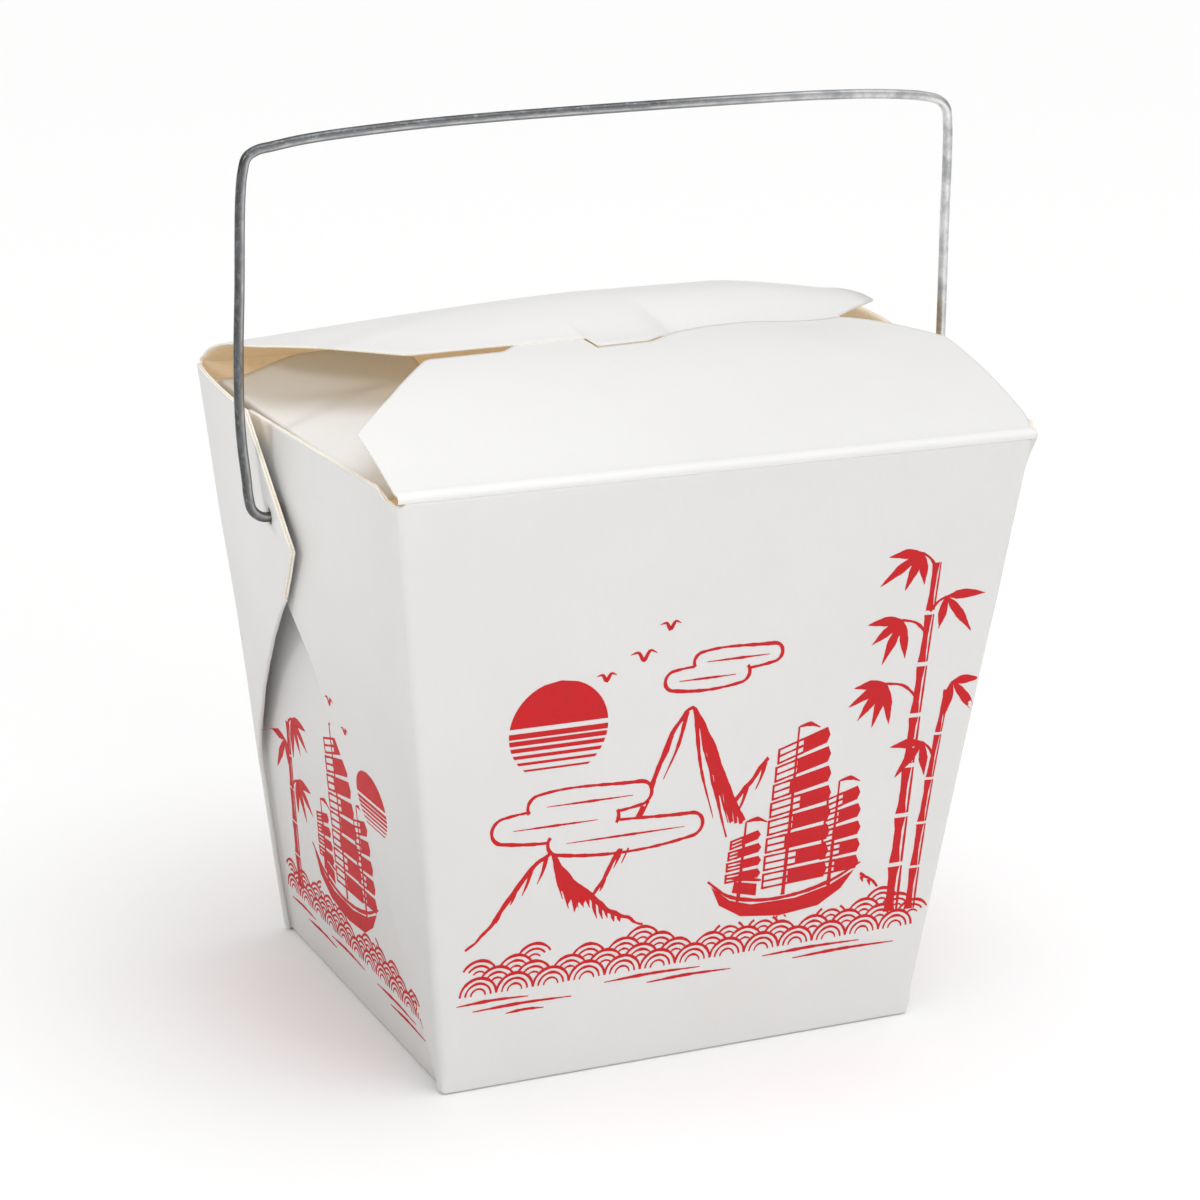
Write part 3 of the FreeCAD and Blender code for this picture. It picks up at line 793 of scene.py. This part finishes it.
# rows of overlapping scales, each three arcs; the border of the water rises and falls
def water(start, stop, bottom, rows, radius, seed, hidden=None):
    shapes = []
    for row in range(rows):
        middle = start + radius * (1 + row % 2)
        while middle < stop:
            crest = rows - 1.2 + wobble(middle / 7.0, seed, 1.1)
            if row <= crest:
                for share, width, low in ((1.0, 0.62, 29.4), (0.70, 0.5, 35.2), (0.40, 0.42, 36.1)):
                    low = math.radians(low if row else 2.0)
                    turn = np.linspace(math.pi - low, low, 11)
                    arc = np.stack([middle + radius * share * np.cos(turn),
                                    bottom + row * radius / 2 + radius * share * np.sin(turn)], -1)
                    shapes += stroke(arc, (width * 0.6, width, width * 0.6), hidden, middle + row, 0.04, 0.5)
            middle += 2 * radius
    return shapes


# a junk under three battened sails; every panel of a sail is half solid, half lined
def junk():
    shapes = filled([(-14.5, 5.0), (-12.6, 1.0), (-8.0, -1.9), (0.0, -3.0), (8.0, -2.2), (12.5, 0.6),
                     (15.0, 4.0), (10.0, 1.6), (3.0, 0.1), (-6.0, 0.2), (-10.5, 1.7)])
    shapes += stroke([(-15.3, 6.2), (-11.0, 2.7), (-6.0, 1.1), (3.0, 0.9), (10.4, 2.6), (16.2, 5.4)],
                     (0.4, 0.8, 0.6, 0.8, 0.3))
    shapes += filled([(-10.2, 3.2), (-5.2, 1.9), (-5.2, 4.3), (-9.9, 5.4)])
    shapes += stroke([(-11.2, 6.3), (-4.4, 4.9)], (0.4, 0.8, 0.4))
    # mast, head, foot, number of panels, reach before and behind the mast
    sails = ((-8.8, 15.0, 5.4, 4, (-2.9, 3.6)), (0.4, 32.5, 3.2, 8, (-4.4, 8.2)),
             (9.8, 20.5, 4.0, 5, (-2.2, 5.4)))
    for mast, head, foot, panels, (fore, aft) in sails:
        shapes += stroke([(mast, 1.2), (mast + 0.3, head + 2.2)], (0.75, 0.6, 0.35))
        shapes += stroke([(mast + 0.3, head + 2.2), (mast + 2.6, head + 2.5), (mast + 4.6, head + 1.6)],
                         (0.3, 0.9, 0.2))
        for number in range(panels):
            low = foot + (head - foot) * number / panels
            high = foot + (head - foot) * (number + 1) / panels - 0.55
            tilt = 0.05 + 0.32 * (number / panels) ** 1.5
            narrow = 1 - 0.30 * (number / panels) ** 2
            left, right = mast + fore * narrow, mast + aft * narrow
            split = left + (right - left) * (0.40 + 0.12 * math.sin(number * 2.1))

            def slanted(x, level):
                return x, level + tilt * (x - mast)

            middle = (low + high) / 2
            shapes += filled([slanted(split, low), slanted(right, low),
                              (right + 0.55, slanted(right, middle)[1]),
                              (right - 0.1, slanted(right, high)[1]), slanted(split, high)])
            for level in (low + 0.2, middle, high - 0.2):
                shapes += stroke([slanted(left, level), slanted(split, level)],
                                 (0.42, 0.36, 0.5), None, level, 0.03)
            shapes += stroke([slanted(left, low), slanted(left, high)], (0.45, 0.45, 0.45), None, low, 0.03)
    return shapes


# a bamboo stem of jointed lengths, with twigs that end in hanging leaves
def bamboo(foot, lean, tall, width, joints, twigs, seed):
    shapes = []
    for number in range(joints):
        low, high = number / joints, (number + 1) / joints
        heights = (low + 0.006, (low + high) / 2, high - 0.006)
        points = [(foot[0] + lean * h**1.6, foot[1] + tall * h) for h in heights]
        thin = width * (1 - 0.45 * low)
        solid, edge = ([(x + thin * shift, z) for x, z in points] for shift in (-0.14, 0.52))
        shapes += stroke(solid, (thin, thin * 0.72, thin * 0.68, thin * 0.72, thin), None, seed + number, 0.04)
        shapes += stroke(edge, (thin * 0.2, thin * 0.24, thin * 0.16), None, seed + number, 0.02)
    for at, side, reach, rise, leaves in twigs:
        root = np.array([foot[0] + lean * at**1.6, foot[1] + tall * at])
        tip = root + np.array([side * reach, rise])
        middle = (root + tip) / 2 + np.array([0, 0.16 * reach])
        shapes += stroke([root, middle, tip], (0.6, 0.5, 0.4), None, seed)
        for leaf in range(leaves):
            spread = (leaf / max(1, leaves - 1) - 0.5) * 2
            angle = math.radians(-48 + 52 * spread * side) if side > 0 else math.radians(228 + 52 * spread)
            length = 8.2 - 2.0 * abs(spread) + wobble(leaf + at * 9, seed, 1.2)
            way = np.array([math.cos(angle), math.sin(angle)])
            bend = np.array([0, -0.09 * length])
            shapes += stroke([tip, tip + way * length * 0.5 + bend * 0.2, tip + way * length + bend],
                             (0.25, 1.5, 1.75, 1.0, 0.06), None, leaf, 0.05, 0.6)
    return shapes


def bird(across, up, span):
    return stroke([(across - span, up + 0.5 * span), (across - 0.45 * span, up + 0.62 * span), (across, up),
                   (across + 0.5 * span, up + 0.7 * span), (across + span, up + 0.45 * span)],
                  (0.1, 0.6, 0.7, 0.6, 0.1), None, up, 0.03, 0.4)


def dashes(rows):
    shapes = []
    for number, (start, stop, level) in enumerate(rows):
        shapes += stroke([(start, level), ((start + stop) / 2, level + 0.25), (stop, level)],
                         (0.15, 0.6, 0.45, 0.15), None, number)
    return shapes


# the broad walls: sun over a bank of cloud on the left, peaks, a junk, and bamboo on the right
def broadPicture():
    line = 15.5
    clouds, inCloud = cloudBank(((-30.0, -12.0, 49.0, 2.2), (-36.0, -18.0, 45.4, 2.4),
                                 (-26.0, -2.0, 41.8, 2.2)))
    high, _ = cloudBank(((-2.0, 11.0, 71.5, 1.7), (-7.0, 5.0, 68.6, 1.8)))
    shapes = clouds + high
    near, behindNear = peak(((-42, 24), (-37, 29), (-31, 38), (-27.5, 40), (-22, 33), (-15, 27), (-9, 24)),
                            3.0, 24, inCloud, 1.25)

    def behindSails(x, z):
        inside = np.zeros(np.shape(x), bool)
        for left, right, low, high in ((5.0, 12.6, 26, 40.5), (12.2, 25.6, 26, 58.0), (23.0, 31.8, 26, 46.0)):
            inside |= (x > left) & (x < right) & (z > low) & (z < high)
        return inside

    middle, behindMiddle = peak(((-24, 24), (-17, 35), (-11, 47), (-6.5, 60), (-3.5, 64), (1, 56), (6, 44),
                                 (12, 34), (20, 24)), 1.0, 24,
                                lambda x, z: inCloud(x, z) | behindNear(x, z) | behindSails(x, z), 1.25)
    far, _ = peak(((-4, 24), (6, 45), (12, 52.5), (16, 50), (22, 40), (30, 29), (36, 24)), 7.0, 24,
                  lambda x, z: behindMiddle(x, z) | behindSails(x, z), 1.5)
    shapes += near + middle + far
    shapes += sunDisc(-27.5, 62.5, 8.8)
    shapes += moved(junk(), 0.94, 16.5, line + 9.0)
    shapes += water(-42.5, 43.5, line, 4, 3.3, 2.0,
                    lambda x, z: (abs(x - 16.5) < 13.0) & (z > line + 6.2))
    shapes += dashes(((-43, -30, 14.0), (-40, -22, 12.6), (-16, 2, 14.2), (-8, 8, 12.8), (14, 33, 14.2),
                      (20, 40, 12.8), (-34, -27, 11.3)))
    shapes += bamboo((38.8, line + 3), 2.2, 66.0, 2.3, 7,
                     ((0.62, -1, 6.5, 3.5, 5), (0.80, -1, 5.0, 3.0, 4), (0.98, -1, 3.0, 3.0, 4),
                      (0.86, 1, 3.0, 2.4, 3)), 1.0)
    shapes += bamboo((42.6, line + 3), 3.0, 42.0, 1.7, 5,
                     ((0.70, -1, 2.6, 3.0, 3), (0.98, 1, 1.0, 2.0, 3)), 4.0)
    shapes += bird(-13.0, 73.0, 2.4) + bird(-19.5, 70.2, 1.8) + bird(-8.5, 78.0, 1.9)
    return moved(shapes, 1.0, 0.0, 2.5)


# the ends: a junk between bamboo and a low sun
def endPicture():
    line = 9.5
    shapes = sunDisc(21.5, 47.0, 6.0)
    shapes += moved(junk(), 1.0, -4.0, line + 8.6)
    shapes += water(-35.5, 31.0, line, 4, 3.1, 5.0, lambda x, z: (abs(x + 4.0) < 13.0) & (z > line + 6.2))
    shapes += dashes(((-34, -22, 7.8), (-14, 2, 7.9), (8, 26, 7.8), (14, 30, 6.4), (-26, -12, 6.4)))
    shapes += bamboo((-28.5, line + 2), 3.0, 34.0, 2.1, 5,
                     ((0.60, 1, 3.0, 2.6, 4), (0.82, -1, 1.6, 1.8, 3), (0.98, 1, 2.4, 2.0, 4)), 2.0)
    shapes += bird(9.0, 61.0, 1.8) + bird(14.5, 57.5, 1.4)
    return shapes


# Lays a picture on the board: cut into small pieces and along a web's fold, then cast onto
# the sheet from outside. The fold line is a point and the way its far side lies.
def layPicture(name, shapes, right, outward, sheet, foldLine=None, mirror=False):
    work = bmesh.new()
    flip = np.array([-1.0 if mirror else 1.0, 1.0])
    for number, (points, faces) in enumerate(shapes):
        corners = [work.verts.new((x, z, number)) for x, z in points * flip]
        for face in faces:
            work.faces.new([corners[k] for k in (face[::-1] if mirror else face)])

    def cut(point, way):
        bmesh.ops.bisect_plane(work, geom=work.verts[:] + work.edges[:] + work.faces[:],
                               plane_co=point, plane_no=way, dist=1e-5)

    cell = printing["cell"]
    for number in range(-8, 16):
        cut((number * cell, 0, 0), (1, 0, 0))
        cut((0, number * cell, 0), (0, 1, 0))
    if foldLine:
        place, way = Vector(foldLine[0]), Vector(foldLine[1]).normalized()
        cut(place.to_3d(), way.to_3d())
        cut((place + way * printing["gap"]).to_3d(), way.to_3d())
    right, outward = Vector(right), Vector(outward)
    found, points, faces = {}, [], []
    for face in work.faces:
        centre = face.calc_center_median()
        far = 0
        if foldLine:
            beyond = (centre.to_2d() - place).dot(way)
            if 0 < beyond < printing["gap"]:
                continue
            far = 1 if beyond > 0 else -1
        corners = []
        for vertex in face.verts:
            key = (vertex.index, far)
            if key not in found:
                across, up = vertex.co.x, vertex.co.y
                if far:
                    across, up = (vertex.co.to_2d() + way * printing["aside"] * far)[:]
                origin = right * across + Vector((0, 0, up)) + outward * printing["from"]
                spot, normal = sheet.ray_cast(origin * 0.001, -outward)[:2]
                proud = printing["proud"] + printing["step"] * (int(vertex.co.z) % printing["layers"])
                found[key] = len(points)
                points.append(spot * 1000 + normal * proud * (1 if normal.dot(outward) > 0 else -1))
            corners.append(found[key])
        faces.append(corners)
    work.free()
    mesh = bpy.data.meshes.new(name)
    mesh.from_pydata([point * 0.001 for point in points], [], faces)
    mesh.validate()
    mesh.update()
    piece = linked(name, mesh)
    piece.data.materials.append(printInk)
    solid = piece.modifiers.new("ink", "SOLIDIFY")
    solid.thickness = printing["ink"] * 0.001
    solid.offset = -1
    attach(piece, "carton")


# red litho ink: slightly uneven, a little glossier than the board
def makeInk():
    shade = Shader("redInk")
    point = shade.objectPoint()
    cloud = shade.noise(point, 420.0, 3.0, 0.6)
    grain = shade.noise(point, 2400.0, 3.0, 0.6)
    base = shade.blend(cloud, 0.35, 0.68, 1.0, (0.62, 0.008, 0.012, 1.0), (0.56, 0.014, 0.020, 1.0))
    base = shade.blend(grain, 0.62, 0.78, 0.22, base, (0.72, 0.16, 0.15, 1.0))
    shade.set(Base_Color=base, Roughness=0.48 + cloud * 0.16, Specular_IOR_Level=0.25,
              Normal=shade.bump(grain, 0.08, 0.0001))
    return shade.material


printInk = makeInk()
sheet = BVHTree.FromPolygons([v.co for v in carton.data.vertices],
                             [p.vertices[:] for p in carton.data.polygons])
webFold = ((30.8, 14.0), (-1.0, -0.528))
broad, narrow = broadPicture(), endPicture()
layPicture("front_print", broad, (1, 0, 0), (0, -1, 0), sheet)
layPicture("back_print", broad, (-1, 0, 0), (0, 1, 0), sheet)
layPicture("left_print", narrow, (0, -1, 0), (-1, 0, 0), sheet, webFold)
layPicture("right_print", narrow, (0, 1, 0), (1, 0, 0), sheet,
           ((-webFold[0][0], webFold[0][1]), (-webFold[1][0], webFold[1][1])), True)
print("print laid:", len(broad), "and", len(narrow), "shapes")

bail = {
    "radius": 0.85, "sides": 20, "pivotY": -1.2,
    # from the hook's end inside the left wall, out through the hole, up and to the right
    "points": (
        (-54.4, 99.6), (-54.4, 96.0), (-54.5, 94.3), (-55.3, 93.0), (-57.0, 92.5), (-60.4, 92.5),
        (-63.2, 92.7), (-64.8, 94.0), (-65.5, 96.6), (-65.8, 99.4), (-66.6, 105.8), (-67.0, 112.0),
        (-67.1, 121.5), (-66.9, 131.0), (-66.7, 146.4), (-66.3, 150.8), (-65.6, 153.2), (-63.9, 154.3),
        (-61.2, 154.8), (-55.3, 155.7), (-38.6, 156.9), (-21.5, 157.5), (-10.4, 157.7), (15.6, 158.0),
        (40.0, 158.0), (52.6, 157.5), (59.2, 156.8), (62.4, 155.9), (63.9, 154.4), (64.4, 151.6),
        (64.7, 146.0), (64.9, 134.6), (65.3, 120.0), (65.5, 108.0), (65.3, 99.6), (64.9, 96.2),
        (63.9, 93.8), (62.2, 92.7), (60.0, 92.5), (57.0, 92.5), (55.3, 93.0), (54.5, 94.3),
        (54.4, 96.0), (54.4, 99.6)),
}


# a round bar along a smooth line: rings stand square to the line, ends closed by domes
def buildBail():
    path = np.array(bail["points"], float)
    path = np.stack([path[:, 0], 0 * path[:, 0] + bail["pivotY"], path[:, 1]], -1)
    gaps = np.linalg.norm(np.diff(path, axis=0), axis=1) ** 0.5
    along = np.concatenate([[0], np.cumsum(gaps)])
    fine = np.concatenate([np.linspace(a, b, 9)[:-1] for a, b in zip(along[:-1], along[1:])] + [along[-1:]])
    line = np.stack([smoothCurve(fine, along, path[:, k]) for k in range(3)], -1)
    tangent = np.gradient(line, axis=0)
    tangent /= np.linalg.norm(tangent, axis=1)[:, None]
    sideways = np.array([0.0, 1.0, 0.0])
    normal = np.cross(tangent, sideways)
    turn = np.linspace(0, 2 * math.pi, bail["sides"] + 1)
    cap = np.linspace(0, math.pi / 2, 5)
    radius = bail["radius"]
    rings = [(line[0] - tangent[0] * radius * math.cos(c) * 0.7, normal[0], math.sin(c)) for c in cap]
    rings += [(p, n, 1.0) for p, n in zip(line[1:-1], normal[1:-1])]
    rings += [(line[-1] + tangent[-1] * radius * math.cos(c) * 0.7, normal[-1], math.sin(c)) for c in cap[::-1]]
    centres, normals, scales = (np.array(part) for part in zip(*rings))
    points = centres[:, None] + scales[:, None, None] * radius * (
        np.cos(turn)[None, :, None] * normals[:, None] + np.sin(turn)[None, :, None] * sideways)
    wire = makeMesh("bail_wire", [gridPatch(points[:, ::-1])], merge=0.0005)
    places = np.empty(len(wire.data.vertices) * 3)
    wire.data.vertices.foreach_get("co", places)
    places = places.reshape(-1, 3) * 1000
    nearest = np.argmin(((places[:, None] - line[None]) ** 2).sum(-1), 1)
    outward = ((places - line[nearest]) * normal[nearest]).sum(-1) / radius
    wire.data.attributes.new("outward", "FLOAT", "POINT").data.foreach_set("value", outward)
    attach(wire, "handle")
    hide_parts("wire_handle")
    return wire


# drawn steel with a thin zinc coat: painted reflection bands run round the bar, dark on the outer side of the
# bail with a painted highlight line along it, and fine scratches follow the drawing
def makeWireFinish():
    shade = Shader("drawnSteel")
    point = shade.objectPoint()
    outward = shade.node("Attribute", {"attribute_name": "outward"}, out=2)
    spots = shade.noise(point, 300.0, 4.0, 0.6)
    draw = shade.noise(shade.stretched(point, (900.0, 2600.0, 900.0)), 1.0, 4.0, 0.6)
    # painted reflection: dark and bright bands set by the side of the bar that faces out
    place = (outward + (spots - 0.5) * 0.24 + 1.0) * 0.5
    reflectionTone = shade.ramp(place, [(0.0, 0.15), (0.18, 0.20), (0.31, 0.62), (0.40, 0.50), (0.52, 0.20),
                              (0.74, 0.10), (1.0, 0.07)])
    across = shade.node("SeparateXYZ", Vector=point)
    reflectionTone = shade.blend(across * 8.0 + 0.5, 0.55, 1.0, 0.8, reflectionTone, grey(0.85))    # painted light: the right leg is drawn brighter
    base = shade.blend(spots, 0.40, 0.66, 0.55, reflectionTone, (0.17, 0.185, 0.20, 1.0))
    base = shade.blend(draw, 0.52, 0.70, 0.45, base, (0.36, 0.39, 0.41, 1.0))
    shade.set(Base_Color=base, Metallic=0.95, Roughness=0.24 + spots * 0.20)
    shade.set(Normal=shade.bump(draw, 0.20, 0.00008))
    return shade.material


wire = buildBail()
wire.data.materials.append(makeWireFinish())
print("bail bent")

studio = {
    "floorColour": (0.97, 0.97, 0.97, 1.0), "floorHalf": 6000, "floorZ": -0.05,
    "zenith": 1.025, "horizon": 0.11,      # brightness of the soft surround overhead and at the floor
    "skyColour": (1.0, 0.986, 0.970, 1.0), "keyColour": (0.96, 1.0, 1.03),
    "keyStrength": 0.31, "keySpread": 50, "keyFrom": (0.16, -0.22, 1.15),
    "frontPower": 4.4, "frontSize": (1.3, 0.9), "frontFrom": (0.35, -1.6, 0.55), "frontAim": (0, 0, 0.05),
    # a narrow light on the open end, from the left
    "mouthPower": 7.5, "mouthSpread": 11, "mouthSoft": 0.06, "mouthFrom": (-0.44, -0.23, 0.35),
    "mouthAim": (-0.050, 0.012, 0.111),
    "focal": 108.04, "azimuth": -0.443553, "elevation": 0.316356, "roll": 0.0284525,
    "distance": 632.25, "target": (0.068, 0.0, 70.566),
}


def lamp(name, kind, place, target, **settings):
    data = bpy.data.lights.new(name, kind)
    for key, value in settings.items():
        setattr(data, key, value)
    piece = linked(name, data)
    piece.location = place
    piece.rotation_euler = (Vector(place) - Vector(target)).to_track_quat("Z", "Y").to_euler()


def buildStudio():
    bpy.context.scene.view_settings.view_transform = "Standard"
    side = np.linspace(-studio["floorHalf"], studio["floorHalf"], 5)
    x, y = np.meshgrid(side, side)
    floor = makeMesh("floor", [gridPatch(np.stack([x, y, 0 * x + studio["floorZ"]], -1))])
    shade = Shader("paleFloor")
    shade.set(Base_Color=studio["floorColour"], Roughness=0.6)
    floor.data.materials.append(shade.material)

    world = bpy.data.worlds.new("studio")
    bpy.context.scene.world = world
    world.use_nodes = True
    tree = world.node_tree
    background = tree.nodes["Background"]
    toSky = Value(tree, tree.nodes.new("ShaderNodeTexCoord").outputs["Generated"])
    parts = tree.nodes.new("ShaderNodeSeparateXYZ")
    tree.links.new(toSky.socket, parts.inputs[0])
    height = Value(tree, parts.outputs["Z"]).greater(0.0)
    level = height ** 0.8 * (studio["zenith"] - studio["horizon"]) + studio["horizon"]
    background.inputs["Color"].default_value = studio["skyColour"]
    tree.links.new(level.socket, background.inputs["Strength"])

    lamp("keyLamp", "SUN", studio["keyFrom"], (0, 0, 0), energy=studio["keyStrength"] * math.pi,
         color=studio["keyColour"], angle=math.radians(studio["keySpread"]))
    lamp("frontLamp", "AREA", studio["frontFrom"], studio["frontAim"], energy=studio["frontPower"],
         shape="RECTANGLE", size=studio["frontSize"][0], size_y=studio["frontSize"][1])
    lamp("mouthLamp", "SPOT", studio["mouthFrom"], studio["mouthAim"], energy=studio["mouthPower"],
         spot_size=math.radians(studio["mouthSpread"]), spot_blend=1.0, shadow_soft_size=studio["mouthSoft"])

    data = bpy.data.cameras.new("camera")
    data.sensor_width = 36.0
    data.lens = studio["focal"]
    data.clip_start, data.clip_end = 0.01, 20.0
    azimuth, elevation, roll = studio["azimuth"], studio["elevation"], studio["roll"]
    back = np.array([math.sin(azimuth) * math.cos(elevation),
                     -math.cos(azimuth) * math.cos(elevation), math.sin(elevation)])
    right = np.array([math.cos(azimuth), math.sin(azimuth), 0.0])
    up = np.cross(back, right)
    rolledRight = math.cos(roll) * right + math.sin(roll) * up
    rolledUp = -math.sin(roll) * right + math.cos(roll) * up
    place = (np.array(studio["target"]) + back * studio["distance"]) * 0.001
    camera = linked("camera", data)
    turned = Matrix((rolledRight, rolledUp, back)).transposed().to_4x4()
    camera.matrix_world = Matrix.Translation(Vector(place)) @ turned
    bpy.context.scene.camera = camera


buildStudio()
print("studio set")

bpy.context.view_layer.update()
